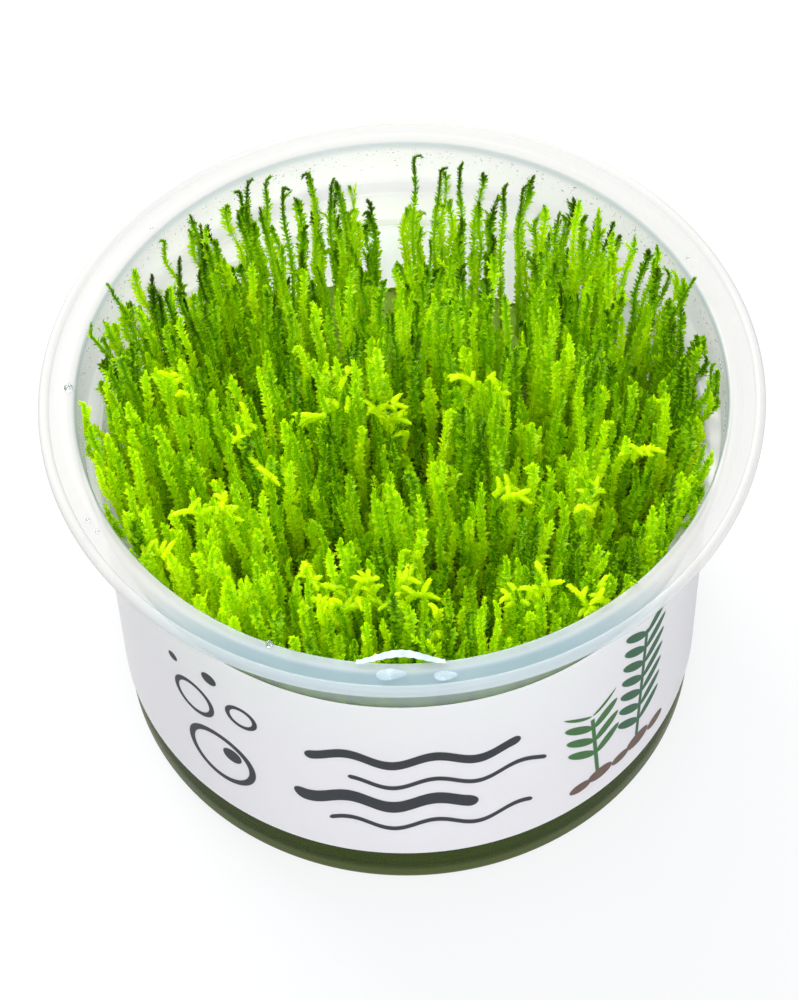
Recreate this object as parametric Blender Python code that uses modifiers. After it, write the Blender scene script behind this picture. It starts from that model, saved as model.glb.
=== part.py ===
"""A cup of tissue-cultured aquarium moss: a thin moulded cup with a wide flange, a label
wrapped round it, nutrient gel in the bottom, and a stand of upright moss shoots that fills
it to the rim. The lidding film has been peeled off and has left a strip and two flakes.
Metres, +Z up. The origin is on the cup's axis, on the surface that it stands on."""

import math
import random

import bpy

MM = 0.001
GAP = 0.3 * MM  # between pieces that touch

# Cup: a turned shape, given as radii and heights.
RIM_RADIUS = 50.0 * MM
CUP_HEIGHT = 62.0 * MM
WALL = 0.7 * MM
FLOOR = 0.8 * MM
BASE_RADIUS = 41.6 * MM  # where the sides would meet the ground
BODY_RADIUS = 42.65 * MM  # just under the shoulder
SHOULDER_LOW = 53.0 * MM
SHOULDER_HIGH = 54.3 * MM
COLLAR_RADIUS = 44.9 * MM  # the wider wall above the shoulder, at its foot
COLLAR_TOP_RADIUS = 45.4 * MM
FOOT_ROUNDING = 1.8 * MM
TURNED_STEPS = 52

# Flange: an inner land, a shallow channel and a rolled outer bead.
FLANGE_UNDERSIDE = CUP_HEIGHT - 1.15 * MM
LAND_INNER_RADIUS = 44.9 * MM
LAND_TOP = CUP_HEIGHT - 0.45 * MM
CHANNEL_INNER_RADIUS = 46.8 * MM
CHANNEL_OUTER_RADIUS = 48.5 * MM
CHANNEL_TOP = CUP_HEIGHT - 0.6 * MM
LIP_BOTTOM = CUP_HEIGHT - 1.3 * MM
LIP_THICKNESS = 0.6 * MM

# Label: one band, wrapped all round the body.
LABEL_THICKNESS = 0.15 * MM
LABEL_BOTTOM = 8.5 * MM
LABEL_TOP = 47.4 * MM

# Gel and moss.
GEL_TOP = 9.2 * MM
TURF_SHOULDER = 41.0 * MM  # where the packed lower shoots leave the wall
TURF_TOP = 47.0 * MM
TURF_STEPS = 36
TUFT_COUNT = 112
TUFT_SPREAD = 38.0 * MM  # radius of the ring that the outermost tufts grow on
TUFT_ROOT = 36.0 * MM
TUFT_TIPS = (56.5 * MM, 63.0 * MM)  # lowest and highest tip of the common tufts
TUFT_RADII = (2.8 * MM, 2.7 * MM, 1.7 * MM, 0.3 * MM)  # from the root to the tip
TUFT_CLEARANCE = 3.8 * MM  # between a tall shoot and the common tufts
GOLDEN_ANGLE = math.pi * (3 - math.sqrt(5))
OUTWARD_LEAN = 0.21  # sideways run for each unit of rise, at the wall

# Hollows in the stand, where shorter shoots let the eye down between the others, as x, y, radius
# and depth in mm. They are longer from front to back than from side to side.
HOLLOWS = {
    "front_middle": (8.0, -24.0, 5.0, 13.0),
    "front_left": (-14.0, -20.0, 4.5, 12.0),
    "front_right": (30.0, -16.0, 4.5, 10.0),
    "centre": (2.0, 0.0, 5.0, 12.0),
    "centre_front": (-5.0, -12.0, 4.0, 9.0),
    "centre_right": (18.0, 4.0, 4.0, 10.0),
    "right_front": (20.0, -9.0, 4.0, 9.0),
    "right": (34.0, 9.0, 5.0, 11.0),
    "left_front": (-33.0, -14.0, 4.0, 9.0),
    "left_back": (-23.0, 11.0, 5.0, 12.0),
    "back_middle": (0.0, 37.0, 11.0, 12.0),
    "back_right": (15.0, 34.0, 7.0, 14.0),
}
HOLLOW_STRETCH = 1.5
HOLLOW_FLOOR = 0.8  # how deep the packed shoots are hollowed, as a share of the tips' drop
HOLLOW_SIDES = 8
HOLLOW_RINGS = 6

# Shoots that stand out above the rest, as (x, y) of the root and of the tip, and tip height.
TALL_SHOOTS = {
    "back_hook": ((2.5, 36.5), (3.2, 39.6), 65.6),
    "back_thin": ((9.5, 35.5), (9.8, 38.6), 64.6),
    "back_right": ((17.5, 33.0), (18.6, 35.0), 64.2),
    "back_left": ((-9.0, 34.0), (-9.4, 36.2), 64.4),
    "back_thick": ((-20.5, 31.5), (-22.0, 34.8), 65.0),
    "left_back": ((-34.0, 14.5), (-39.8, 16.6), 64.2),
    "left_over_rim": ((-36.8, 7.6), (-44.6, 9.8), 64.6),
    "right_back": ((34.0, 15.0), (40.6, 16.4), 63.8),
    "right": ((37.0, -3.0), (42.6, -2.4), 63.4),
    "far_right_back": ((27.5, 25.0), (30.6, 28.4), 63.4),
}

# Remains of the lidding film at the front of the rim.
STRIP_MIDDLE = math.radians(-1.5)  # from the front
STRIP_HALF_ANGLE = math.radians(7.6)
STRIP_REACH = 1.5 * MM  # how far its middle bows in over the cup
STRIP_LIFT = 0.8 * MM
STRIP_THICKNESS = 0.5 * MM
STRIP_POINTS = 13
FLAKE_THICKNESS = 0.2 * MM
FLAKES = {  # angle from the front, distance from the axis, length round the rim, width across it
    "seal_film_flake_left": (math.radians(-3.0), 47.1 * MM, 4.0 * MM, 2.2 * MM),
    "seal_film_flake_right": (math.radians(5.6), 47.7 * MM, 3.1 * MM, 1.9 * MM),
}


def clear_scene():
    for thing in list(bpy.data.objects):
        bpy.data.objects.remove(thing, do_unlink=True)


def new_collection(name):
    collection = bpy.data.collections.new(name)
    bpy.context.scene.collection.children.link(collection)
    return collection


def material(name, colour, roughness, alpha=1.0):
    mat = bpy.data.materials.new(name)
    mat.use_nodes = True
    shader = mat.node_tree.nodes["Principled BSDF"]
    shader.inputs["Base Color"].default_value = (*colour, 1.0)
    shader.inputs["Roughness"].default_value = roughness
    shader.inputs["Metallic"].default_value = 0.0
    shader.inputs["Alpha"].default_value = alpha
    return mat


def arc(centre, radius, start_deg, end_deg, points):
    """Points of an arc in the (radius, height) plane."""
    angles = [start_deg + (end_deg - start_deg) * i / (points - 1) for i in range(points)]
    return [
        (centre[0] + radius * math.cos(math.radians(a)), centre[1] + radius * math.sin(math.radians(a)))
        for a in angles
    ]


def turned(name, profile, collection, mat, steps=TURNED_STEPS, closed=False):
    """A profile of (radius, height) points, revolved round the vertical axis."""
    count = len(profile)
    edges = [(i, (i + 1) % count) for i in range(count if closed else count - 1)]
    mesh = bpy.data.meshes.new(name)
    mesh.from_pydata([(r, 0.0, z) for r, z in profile], edges, [])
    piece = bpy.data.objects.new(name, mesh)
    collection.objects.link(piece)
    mesh.materials.append(mat)
    screw = piece.modifiers.new("turn", "SCREW")
    screw.axis = "Z"
    screw.angle = math.tau
    screw.steps = screw.render_steps = steps
    screw.use_merge_vertices = True
    screw.merge_threshold = 0.00002
    screw.use_smooth_shade = True
    return piece


def body_radius(height):
    """Outer radius of the tapered body at a height."""
    return BASE_RADIUS + (BODY_RADIUS - BASE_RADIUS) * height / SHOULDER_LOW


def flange_outline():
    """Over the top of the flange from the inner edge, round the bead and back under it."""
    bead = (RIM_RADIUS - 0.75 * MM, CUP_HEIGHT - 0.75 * MM)
    return [
        (LAND_INNER_RADIUS, LAND_TOP - 0.45 * MM),
        (LAND_INNER_RADIUS + 0.3 * MM, LAND_TOP - 0.05 * MM),
        (CHANNEL_INNER_RADIUS - 0.6 * MM, LAND_TOP),
        (CHANNEL_INNER_RADIUS, CHANNEL_TOP),
        (CHANNEL_OUTER_RADIUS, CHANNEL_TOP),
        *arc(bead, 0.75 * MM, 150, 0, 4),
        (RIM_RADIUS, LIP_BOTTOM),
        (RIM_RADIUS - LIP_THICKNESS, LIP_BOTTOM),
        (RIM_RADIUS - LIP_THICKNESS - 0.2 * MM, FLANGE_UNDERSIDE),
        (COLLAR_TOP_RADIUS + 0.4 * MM, FLANGE_UNDERSIDE),
    ]


def make_cup(collection):
    inner_foot = FOOT_ROUNDING - WALL / 2
    foot_radius = body_radius(FOOT_ROUNDING)
    outline = [
        (0.0, FLOOR),
        *arc((foot_radius - WALL - inner_foot, FLOOR + inner_foot), inner_foot, -90, 0, 3),
        (BODY_RADIUS - WALL, SHOULDER_LOW + WALL / 2),
        (COLLAR_RADIUS - WALL, SHOULDER_HIGH + WALL / 2),
        (COLLAR_TOP_RADIUS - WALL, FLANGE_UNDERSIDE),
        *flange_outline(),
        (COLLAR_TOP_RADIUS, FLANGE_UNDERSIDE - 0.5 * MM),
        (COLLAR_RADIUS, SHOULDER_HIGH),
        (BODY_RADIUS, SHOULDER_LOW),
        *arc((foot_radius - FOOT_ROUNDING, FOOT_ROUNDING), FOOT_ROUNDING, 0, -90, 4),
        (0.0, 0.0),
    ]
    plastic = material("clear_polypropylene", (0.86, 0.90, 0.93), 0.25, alpha=0.45)
    return turned("cup", outline, collection, plastic)


def make_label(collection):
    inside, outside = GAP, GAP + LABEL_THICKNESS
    outline = [
        (body_radius(LABEL_BOTTOM) + inside, LABEL_BOTTOM),
        (body_radius(LABEL_TOP) + inside, LABEL_TOP),
        (body_radius(LABEL_TOP) + outside, LABEL_TOP),
        (body_radius(LABEL_BOTTOM) + outside, LABEL_BOTTOM),
    ]
    film = material("printed_label_film", (0.80, 0.80, 0.82), 0.5)
    return turned("label", outline, collection, film, closed=True)


def contents_radius(height):
    """Radius of what fills the cup, clear of its inner wall."""
    return body_radius(height) - WALL - GAP


def make_gel(collection):
    floor, foot = FLOOR + GAP, FLOOR + GAP + FOOT_ROUNDING
    outline = [
        (0.0, GEL_TOP),
        (contents_radius(GEL_TOP) - 1.5 * MM, GEL_TOP - 0.2 * MM),
        (contents_radius(GEL_TOP), GEL_TOP),
        (contents_radius(foot), foot),
        (contents_radius(foot) - FOOT_ROUNDING * 0.6, floor + FOOT_ROUNDING * 0.3),
        (contents_radius(foot) - FOOT_ROUNDING * 1.4, floor),
        (0.0, floor),
    ]
    jelly = material("nutrient_gel", (0.10, 0.13, 0.04), 0.2)
    return turned("nutrient_gel", outline, collection, jelly)


def tuft_curve(points, collection):
    """One tapered tuft as a bevelled curve through its points, thickest at the root."""
    data = bpy.data.curves.new("tuft", "CURVE")
    data.dimensions = "3D"
    data.bevel_depth = 1.0
    data.bevel_resolution = 0
    data.use_fill_caps = True
    spline = data.splines.new("POLY")
    spline.points.add(len(points) - 1)
    for point, place, radius in zip(spline.points, points, TUFT_RADII):
        point.co = (*place, 1.0)
        point.radius = radius
    tuft = bpy.data.objects.new("tuft", data)
    collection.objects.link(tuft)
    return tuft


def bowed(root, tip):
    """Four points from root to tip: upright at first, then leaning over to the tip."""
    return [
        tuple(a + (b - a) * share for a, b, share in zip(root, tip, shares))
        for shares in ((0, 0, 0), (0.04, 0.04, 0.5), (0.4, 0.4, 0.8), (1, 1, 1))
    ]


def tall_tufts():
    return [
        (
            (root[0] * MM, root[1] * MM, TUFT_ROOT),
            (tip[0] * MM, tip[1] * MM, height * MM),
        )
        for root, tip, height in TALL_SHOOTS.values()
    ]


def sunk(x, y):
    """How far the tips at a place lie below the others, by the hollow that they stand in."""
    return sum(
        depth * MM * math.exp(-2 * (
            ((x / MM - a) / radius) ** 2 + ((y / MM - b) / (radius * HOLLOW_STRETCH)) ** 2
        ))
        for a, b, radius, depth in HOLLOWS.values()
    )


def common_tufts(taken):
    """Roots in an even spiral over the turf, clear of the tall ones, with tips that lean
    outwards more the nearer they stand to the wall."""
    chance = random.Random(11)
    tufts = []
    for i in range(TUFT_COUNT):
        radius = TUFT_SPREAD * math.sqrt((i + 0.5) / TUFT_COUNT)
        angle = i * GOLDEN_ANGLE
        x, y = radius * math.cos(angle), radius * math.sin(angle)
        height = chance.uniform(*TUFT_TIPS) - sunk(x, y)
        jitter = chance.uniform(-0.8, 0.8) * MM, chance.uniform(-0.8, 0.8) * MM
        if any(math.dist((x, y), root[:2]) < TUFT_CLEARANCE for root, tip in taken):
            continue
        run = (height - TUFT_ROOT) * OUTWARD_LEAN / TUFT_SPREAD
        tip = (x * (1 + run) + jitter[0], y * (1 + run * 0.5) + jitter[1], height)
        tufts.append(((x, y, TUFT_ROOT), tip))
    return tufts


def tuft_mesh(collection):
    """All the tufts as one mesh, made from their curves."""
    tall = tall_tufts()
    curves = [tuft_curve(bowed(*ends), collection) for ends in tall + common_tufts(tall)]
    bpy.context.view_layer.update()
    graph = bpy.context.evaluated_depsgraph_get()
    points, faces = [], []
    for curve in curves:
        mesh = bpy.data.meshes.new_from_object(curve.evaluated_get(graph))
        faces += [[len(points) + i for i in face.vertices] for face in mesh.polygons]
        points += [tuple(vertex.co) for vertex in mesh.vertices]
        bpy.data.meshes.remove(mesh)
        bpy.data.objects.remove(curve)
    return points, faces


def make_tufts(collection):
    points, faces = tuft_mesh(collection)
    mesh = bpy.data.meshes.new("moss_tufts")
    mesh.from_pydata(points, [], faces)
    tufts = bpy.data.objects.new("moss_tufts", mesh)
    collection.objects.link(tufts)
    tufts.hide_render = True
    tufts.display_type = "WIRE"
    weld = tufts.modifiers.new("close_caps", "WELD")
    weld.merge_threshold = 0.00001
    return tufts


def make_hollows(collection):
    """Bowls that are cut out of the packed shoots, as one mesh of stretched balls."""
    points, faces = [], []
    for x, y, radius, depth in HOLLOWS.values():
        bpy.ops.mesh.primitive_uv_sphere_add(
            segments=HOLLOW_SIDES, ring_count=HOLLOW_RINGS, radius=MM, location=(0, 0, 0)
        )
        ball = bpy.context.object
        faces += [[len(points) + i for i in face.vertices] for face in ball.data.polygons]
        points += [
            (
                x * MM + vertex.co.x * radius,
                y * MM + vertex.co.y * radius * HOLLOW_STRETCH,
                TURF_TOP + vertex.co.z * depth * HOLLOW_FLOOR,
            )
            for vertex in ball.data.vertices
        ]
        bpy.data.objects.remove(ball)
    mesh = bpy.data.meshes.new("moss_hollows")
    mesh.from_pydata(points, [], faces)
    hollows = bpy.data.objects.new("moss_hollows", mesh)
    collection.objects.link(hollows)
    hollows.hide_render = True
    hollows.display_type = "WIRE"
    return hollows


def make_moss(collection, helpers):
    """Packed lower shoots as one turned body that has hollows in it, with the tufts of their
    tips joined to it."""
    bottom = GEL_TOP + GAP
    outline = [
        (0.0, TURF_TOP),
        (14.0 * MM, TURF_TOP + 0.4 * MM),
        (27.0 * MM, TURF_TOP - 0.2 * MM),
        (36.0 * MM, TURF_TOP - 1.6 * MM),
        (39.6 * MM, TURF_TOP - 3.8 * MM),
        (contents_radius(TURF_SHOULDER), TURF_SHOULDER),
        (contents_radius(bottom), bottom),
        (0.0, bottom),
    ]
    leaves = material("moss_leaves", (0.10, 0.30, 0.01), 0.6)
    moss = turned("moss", outline, collection, leaves, steps=TURF_STEPS)
    carve = moss.modifiers.new("hollows", "BOOLEAN")
    carve.operation = "DIFFERENCE"
    carve.solver = "EXACT"
    carve.use_self = True
    carve.object = make_hollows(helpers)
    union = moss.modifiers.new("join_tufts", "BOOLEAN")
    union.operation = "UNION"
    union.solver = "EXACT"
    union.use_self = True
    union.object = make_tufts(helpers)
    return moss


def rim_place(angle, radius, height):
    """A place on the rim, at an angle from the front."""
    return (radius * math.sin(angle), -radius * math.cos(angle), height)


def make_film_strip(collection):
    """A ribbon of film that still clings to the front inner edge, lifted in the middle."""
    foot = LAND_TOP + GAP + STRIP_THICKNESS / 2
    data = bpy.data.curves.new("seal_film_strip", "CURVE")
    data.dimensions = "3D"
    data.bevel_depth = STRIP_THICKNESS / 2
    data.bevel_resolution = 1
    data.use_fill_caps = True
    spline = data.splines.new("POLY")
    spline.points.add(STRIP_POINTS - 1)
    for i, point in enumerate(spline.points):
        along = 2 * i / (STRIP_POINTS - 1) - 1
        bow = math.cos(along * math.pi / 2) ** 2
        radius = LAND_INNER_RADIUS + 0.6 * MM - STRIP_REACH * bow
        angle = STRIP_MIDDLE + along * STRIP_HALF_ANGLE
        point.co = (*rim_place(angle, radius, foot + STRIP_LIFT * bow), 1.0)
    strip = bpy.data.objects.new("seal_film_strip", data)
    data.materials.append(material("lidding_film", (0.90, 0.91, 0.93), 0.4))
    collection.objects.link(strip)
    return strip


def make_film_flakes(collection):
    """Two torn flakes of film stuck down on the flange: drop outlines, thin as film."""
    film = bpy.data.materials["lidding_film"]
    for name, (angle, radius, length, width) in FLAKES.items():
        data = bpy.data.curves.new(name, "CURVE")
        data.dimensions = "2D"
        data.fill_mode = "BOTH"
        data.extrude = FLAKE_THICKNESS / 2
        spline = data.splines.new("POLY")
        spline.use_cyclic_u = True
        spline.points.add(11)
        for i, point in enumerate(spline.points):
            turn = math.tau * i / 12
            pinch = 1 - 0.45 * (1 + math.cos(turn)) / 2
            point.co = (
                length / 2 * math.cos(turn),
                width / 2 * math.sin(turn) * pinch,
                0.0,
                1.0,
            )
        flake = bpy.data.objects.new(name, data)
        flake.location = rim_place(angle, radius, LAND_TOP + GAP + FLAKE_THICKNESS / 2)
        flake.rotation_euler.z = angle
        data.materials.append(film)
        collection.objects.link(flake)


def build():
    clear_scene()
    parts = new_collection("moss_tissue_culture_cup")
    helpers = new_collection("moss_helpers")
    make_cup(parts)
    make_label(parts)
    make_gel(parts)
    make_moss(parts, helpers)
    make_film_strip(parts)
    make_film_flakes(parts)


build()
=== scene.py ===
import math

import bpy
import numpy as np
from mathutils import Euler, Matrix, Vector, noise


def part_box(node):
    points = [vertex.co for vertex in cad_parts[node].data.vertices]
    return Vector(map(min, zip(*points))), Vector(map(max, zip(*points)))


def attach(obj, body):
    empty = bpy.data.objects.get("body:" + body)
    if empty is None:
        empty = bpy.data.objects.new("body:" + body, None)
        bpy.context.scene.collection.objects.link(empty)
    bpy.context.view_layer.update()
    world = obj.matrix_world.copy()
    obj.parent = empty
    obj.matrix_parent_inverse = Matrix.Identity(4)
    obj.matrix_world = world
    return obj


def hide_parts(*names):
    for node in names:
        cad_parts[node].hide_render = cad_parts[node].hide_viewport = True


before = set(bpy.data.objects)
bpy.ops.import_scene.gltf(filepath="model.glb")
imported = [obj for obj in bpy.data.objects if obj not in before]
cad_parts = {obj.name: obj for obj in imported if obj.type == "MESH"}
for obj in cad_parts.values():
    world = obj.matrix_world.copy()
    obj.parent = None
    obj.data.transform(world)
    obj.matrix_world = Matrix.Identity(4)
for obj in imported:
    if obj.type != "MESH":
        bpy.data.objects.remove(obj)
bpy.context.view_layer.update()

# The view: a long lens looks down into the cup from in front, at 52 degrees above the table.
# The cup was turned slightly against the upright of the picture, so the camera is rolled.
MM = 0.001
rim_radius, _, rim_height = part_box("cup")[1]

camera_distance = 549.7 * MM  # from the middle of the rim
camera_elevation = math.radians(52.446)
camera_pitch_down = math.radians(54.05)
camera_turn_left = math.radians(0.142)
camera_roll = math.radians(-1.869)
lens_mm = 144

camera = bpy.data.objects.new("camera", bpy.data.cameras.new("camera"))
bpy.context.collection.objects.link(camera)
camera.data.sensor_width = 36
camera.data.lens = lens_mm
camera.data.clip_start = 10 * MM
camera_place = Vector((
    0,
    -camera_distance * math.cos(camera_elevation),
    rim_height + camera_distance * math.sin(camera_elevation),
))
camera_aim = Euler((math.pi / 2 - camera_pitch_down, 0, camera_turn_left)).to_matrix().to_4x4()
camera.matrix_world = (
    Matrix.Translation(camera_place) @ camera_aim @ Matrix.Rotation(camera_roll, 4, "Z")
)
bpy.context.scene.camera = camera

# The studio: a white floor that glows a little, as on a light table, under an even white sky. A
# broad lamp behind and to the left shines through the leaves, a weaker one fills from in front,
# and a low one straight behind shines through the label. Nothing tones the fresh greens down.


def linear(hex_colour):
    """An sRGB hex colour as the linear colour that a shader takes."""
    channels = [int(hex_colour[i:i + 2], 16) / 255 for i in (1, 3, 5)]
    return (*[c / 12.92 if c <= 0.04045 else ((c + 0.055) / 1.055) ** 2.4 for c in channels], 1)


def add(tree, kind, settings=None, **links):
    """One shader node of a kind, with its settings, or with just the name of its operation. A
    link is named for an input, with _ for a space or before its number. It brings a number, a
    colour or an output, and a node stands for its first output."""
    made = tree.nodes.new("ShaderNode" + kind)
    settings = {"operation": settings} if isinstance(settings, str) else dict(settings or {})
    stops = settings.pop("stops", [])  # of a colour ramp
    if stops:
        elements = made.color_ramp.elements
        for element, (position, colour) in zip(elements, (stops[0], stops[-1])):
            element.position, element.color = position, linear(colour)
        for position, colour in stops[1:-1]:
            elements.new(position).color = linear(colour)
    for key, value in settings.items():
        setattr(made, key, value)
    for key, value in links.items():
        socket = made.inputs[int(key[1:]) if key[1:].isdigit() else key.replace("_", " ")]
        if isinstance(value, bpy.types.Node):
            value = value.outputs[0]
        if isinstance(value, bpy.types.NodeSocket):
            tree.links.new(value, socket)
        else:
            socket.default_value = value
    return made


def new_material(name):
    """A material and its tree, still without a node."""
    material = bpy.data.materials.new(name)
    material.use_nodes = True
    material.node_tree.nodes.clear()
    return material, material.node_tree


bpy.context.scene.view_settings.view_transform = "Standard"
world = bpy.data.worlds.new("white_sky")
bpy.context.scene.world = world
world.use_nodes = True
sky = world.node_tree.nodes["Background"].inputs
sky["Color"].default_value = linear("#FAFBFE")
sky["Strength"].default_value = 0.92

floor_material, tree = new_material("lit_white_acrylic")
add(tree, "OutputMaterial", Surface=add(
    tree, "BsdfPrincipled", Base_Color=linear("#5C5E60"), Roughness=0.9, Specular_IOR_Level=0.1,
    Emission_Color=linear("#FFFFFF"), Emission_Strength=0.80,
))
bpy.ops.object.select_all(action="DESELECT")
bpy.ops.mesh.primitive_plane_add(size=8)
floor = bpy.context.object
floor.name = "floor"
floor.data.materials.append(floor_material)

lamp_aim = Vector((0, 0, 0.04))
for name, place, size, power, colour in (  # metres and watts
    ("back_lamp", (-0.45, 0.60, 0.62), 0.45, 10.0, "#FFFDF2"),
    ("front_lamp", (0.10, -0.60, 0.70), 0.6, 6.0, "#FFFFFF"),
    ("low_back_lamp", (0, 0.70, 0.10), 0.4, 6.0, "#FBFFF0"),
):
    lamp = bpy.data.objects.new(name, bpy.data.lights.new(name, "AREA"))
    bpy.context.collection.objects.link(lamp)
    lamp.data.size = size
    lamp.data.energy = power
    lamp.data.color = linear(colour)[:3]
    lamp.location = place
    lamp.rotation_euler = (lamp_aim - Vector(place)).to_track_quat("-Z", "Y").to_euler()

# Cup: thin-walled polypropylene, injection moulded in one shot, clear with a milky cast. The body
# tapers to the foot, a step under the collar lets empty cups stack, and the flange has an inner
# land for the lidding film, a shallow channel and a rolled outer bead.
wall = 0.7 * MM
base_thickness = 0.8 * MM
base_radius = 41.6 * MM
body_top_radius = 42.65 * MM
shoulder_low = 53.0 * MM
shoulder_high = 54.3 * MM
collar_radius = 44.9 * MM
collar_top_radius = 45.4 * MM
foot_rounding = 1.8 * MM
base_ring = 20 * MM  # a ring in the flat base
body_middle = 28 * MM  # a height halfway up the body
shoulder_rounding = 0.5 * MM
inner_shoulder_rounding = 0.7 * MM
flange_rounding = 0.6 * MM
flange_underside = rim_height - 1.15 * MM
land_inner_radius = 44.9 * MM
land_rounding = 0.55 * MM
land_top = rim_height - 0.45 * MM
channel_inner = 46.8 * MM
channel_outer = 48.5 * MM
channel_top = rim_height - 0.6 * MM
channel_edge = 0.25 * MM
channel_dip = 0.03 * MM
lip_bottom = rim_height - 1.3 * MM
lip_thickness = 0.6 * MM
lip_rounding = 0.3 * MM
bead_radius = 0.75 * MM
round_sides = 192


def body_radius(height):
    """Outer radius of the tapered body at a height."""
    return base_radius + (body_top_radius - base_radius) * height / shoulder_low


def arc(centre, radius, start, end, points):
    """Points of an arc in the plane of radius and height, between two angles in degrees."""
    angles = np.radians(np.linspace(start, end, points))
    return [(centre[0] + radius * math.cos(a), centre[1] + radius * math.sin(a)) for a in angles]


def lathe(name, outline, sides, ends_on_axis):
    """A turned shape: a circle that is extruded and resized to each point of the outline. Its
    ends are closed on the axis, or joined to each other."""
    bpy.ops.object.select_all(action="DESELECT")
    bpy.ops.mesh.primitive_circle_add(
        vertices=sides, radius=outline[0][0], location=(0, 0, outline[0][1])
    )
    bpy.ops.object.transform_apply(location=True)
    piece = bpy.context.object
    piece.name = piece.data.name = name
    bpy.ops.object.mode_set(mode="EDIT")
    bpy.ops.mesh.select_all(action="SELECT")
    for (radius, height), (next_radius, next_height) in zip(outline, outline[1:]):
        bpy.ops.mesh.extrude_region_move(
            TRANSFORM_OT_translate={"value": (0, 0, next_height - height)}
        )
        grow = next_radius / radius
        bpy.ops.transform.resize(value=(grow, grow, 1), center_override=(0, 0, next_height))
    bpy.ops.mesh.select_all(action="SELECT")
    if ends_on_axis:
        bpy.ops.mesh.fill_holes(sides=0)
    else:
        bpy.ops.mesh.remove_doubles(threshold=0.00001)
    bpy.ops.mesh.select_all(action="SELECT")
    bpy.ops.mesh.normals_make_consistent(inside=False)
    bpy.ops.object.mode_set(mode="OBJECT")
    bpy.ops.object.shade_smooth_by_angle(angle=math.radians(40))
    return piece


inner_foot = foot_rounding - wall / 2
foot_radius = body_radius(foot_rounding)
axis_hole = 1.0 * MM  # the last ring round the axis, closed with one face
cup = lathe("cup_moulding", [
    (axis_hole, 0),
    (base_ring, 0),
    *arc((foot_radius - foot_rounding, foot_rounding), foot_rounding, -90, 0, 9),
    (body_radius(body_middle), body_middle),
    *arc((body_top_radius + 0.1 * MM, shoulder_low - 0.9 * MM), 0.1 * MM, 180, 130, 2),
    *arc((body_top_radius + shoulder_rounding, shoulder_low - 0.1 * MM), shoulder_rounding,
         180, 110, 4),
    *arc((collar_radius - shoulder_rounding, shoulder_high + 0.2 * MM), shoulder_rounding,
         -70, 0, 4),
    (collar_top_radius - 0.05 * MM, flange_underside - 1.0 * MM),
    *arc((collar_top_radius + flange_rounding, flange_underside - flange_rounding),
         flange_rounding, 180, 90, 5),
    (rim_radius - lip_thickness - 0.15 * MM, flange_underside),
    *arc((rim_radius - lip_rounding, lip_bottom + 0.2 * MM), lip_rounding, 225, 360, 5),
    *arc((rim_radius - bead_radius, rim_height - bead_radius), bead_radius, 0, 150, 11),
    (channel_outer, channel_top + channel_dip),
    (channel_outer - channel_edge, channel_top),
    (channel_inner + channel_edge, channel_top),
    (channel_inner, channel_top + channel_dip),
    (channel_inner - 0.4 * MM, land_top - 0.02 * MM),
    (channel_inner - 0.8 * MM, land_top),
    *arc((land_inner_radius + land_rounding, land_top - land_rounding), land_rounding,
         90, 190, 8),
    (collar_top_radius - wall, flange_underside - flange_rounding),
    *arc((collar_radius - wall - inner_shoulder_rounding, shoulder_high + 0.45 * MM),
         inner_shoulder_rounding, 0, -70, 4),
    *arc((body_top_radius - wall + 0.4 * MM, shoulder_low + 0.4 * MM), shoulder_rounding,
         110, 180, 4),
    (body_radius(body_middle) - wall, body_middle),
    *arc((foot_radius - wall - inner_foot, base_thickness + inner_foot), inner_foot, 0, -90, 7),
    (base_ring, base_thickness),
    (axis_hole, base_thickness),
], round_sides, ends_on_axis=True)

label_low, label_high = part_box("label")
label_bottom, label_top = label_low[2], label_high[2]

# Polypropylene: the crystals in it scatter a little light, so a thin wall looks clear with a
# milky cast, and greyer where it is seen edge on and light comes a long way through it. The
# flange is thicker and looks white, with a bluish cast on the face of its inner edge. At the
# front the plastic, and its flange channel most of all, is tinted a painted bluish grey shade
# for the darker shade behind it that shows through. The wall that the jelly wets takes the
# jelly's colour. The skin has a soft gloss.
smooth = {"interpolation_type": "SMOOTHSTEP"}
of_colours = {"data_type": "RGBA"}
wet_below = (9.2 * MM, 8.6 * MM)  # heights between which the wall takes the jelly's colour
dense_below = (4.2 * MM, 2.8 * MM)  # heights between which the foot's curve hides the rest
front_shade_beyond = (-30 * MM, -45 * MM)  # y between which the plastic takes its painted bluish shade
channel_middle = (channel_inner + channel_outer) / 2

plastic, tree = new_material("moulded_polypropylene")
place = add(tree, "TexCoord").outputs["Object"]
flow = add(tree, "TexNoise", Vector=place, Scale=60.0, Detail=3.0)
ripple = add(tree, "Bump", Strength=0.15, Distance=0.3 * MM, Height=flow)
edge_on = add(tree, "LayerWeight", Blend=0.3).outputs["Facing"]
edge_haze = add(tree, "Math", "POWER", _0=edge_on, _1=2.6)
spot = add(tree, "SeparateXYZ", Vector=place).outputs
in_flange = add(
    tree, "MapRange", Value=spot["Z"], From_Min=flange_underside - 0.8 * MM,
    From_Max=flange_underside,
)
in_collar = add(
    tree, "MapRange", Value=spot["Z"], From_Min=label_top - 1.4 * MM,
    From_Max=label_top - 0.2 * MM, To_Min=0.006, To_Max=0.48,
)
in_foot = add(tree, "MapRange", Value=spot["Z"], From_Min=wet_below[0], From_Max=wet_below[1])
foot_haze = add(
    tree, "MapRange", Value=spot["Z"], From_Min=dense_below[0], From_Max=dense_below[1],
    To_Min=0.45, To_Max=0.94,
)
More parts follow.
